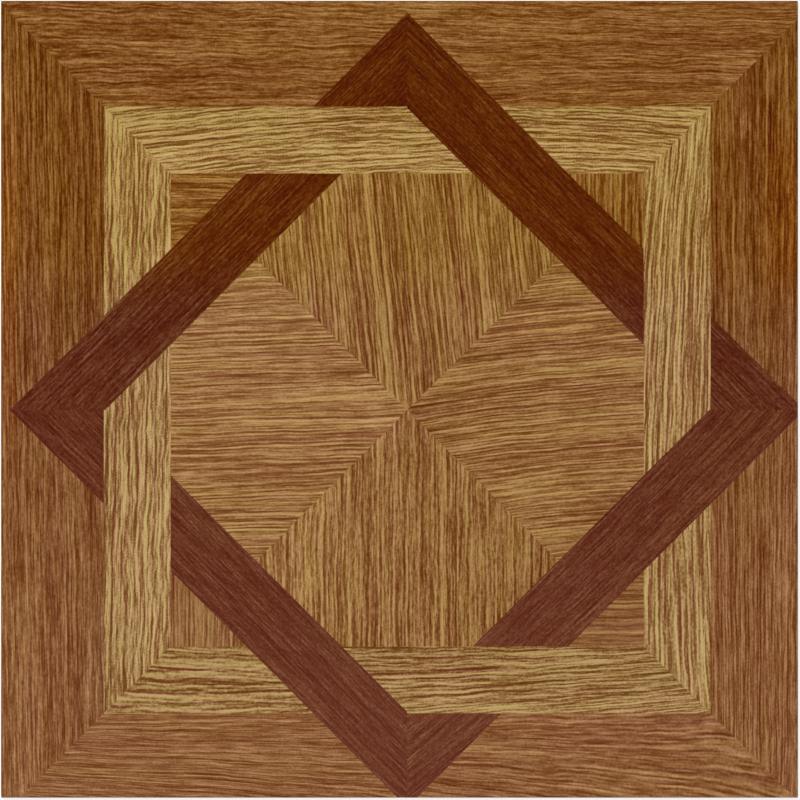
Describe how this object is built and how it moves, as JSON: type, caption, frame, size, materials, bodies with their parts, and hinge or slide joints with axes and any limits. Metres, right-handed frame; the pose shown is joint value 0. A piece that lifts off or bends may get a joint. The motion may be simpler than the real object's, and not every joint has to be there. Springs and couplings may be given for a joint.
{
  "type": "vinyl floor tile",
  "caption": "Square vinyl floor tile, thin and flat, its face printed with a pale and a dark oak band interlaced over oak parquet boards",
  "frame": {"origin": "middle of the back face, which lies on the floor", "axes": "+Z out of the printed face; +Y towards the edge at the top of the reference picture; +X towards the edge at its right"},
  "size_m": [0.3048, 0.3048, 0.002],
  "materials": {
    "printed_vinyl": "satin"
  },
  "bodies": {
    "root": {"tile": "printed_vinyl"}
  },
  "joints": []
}
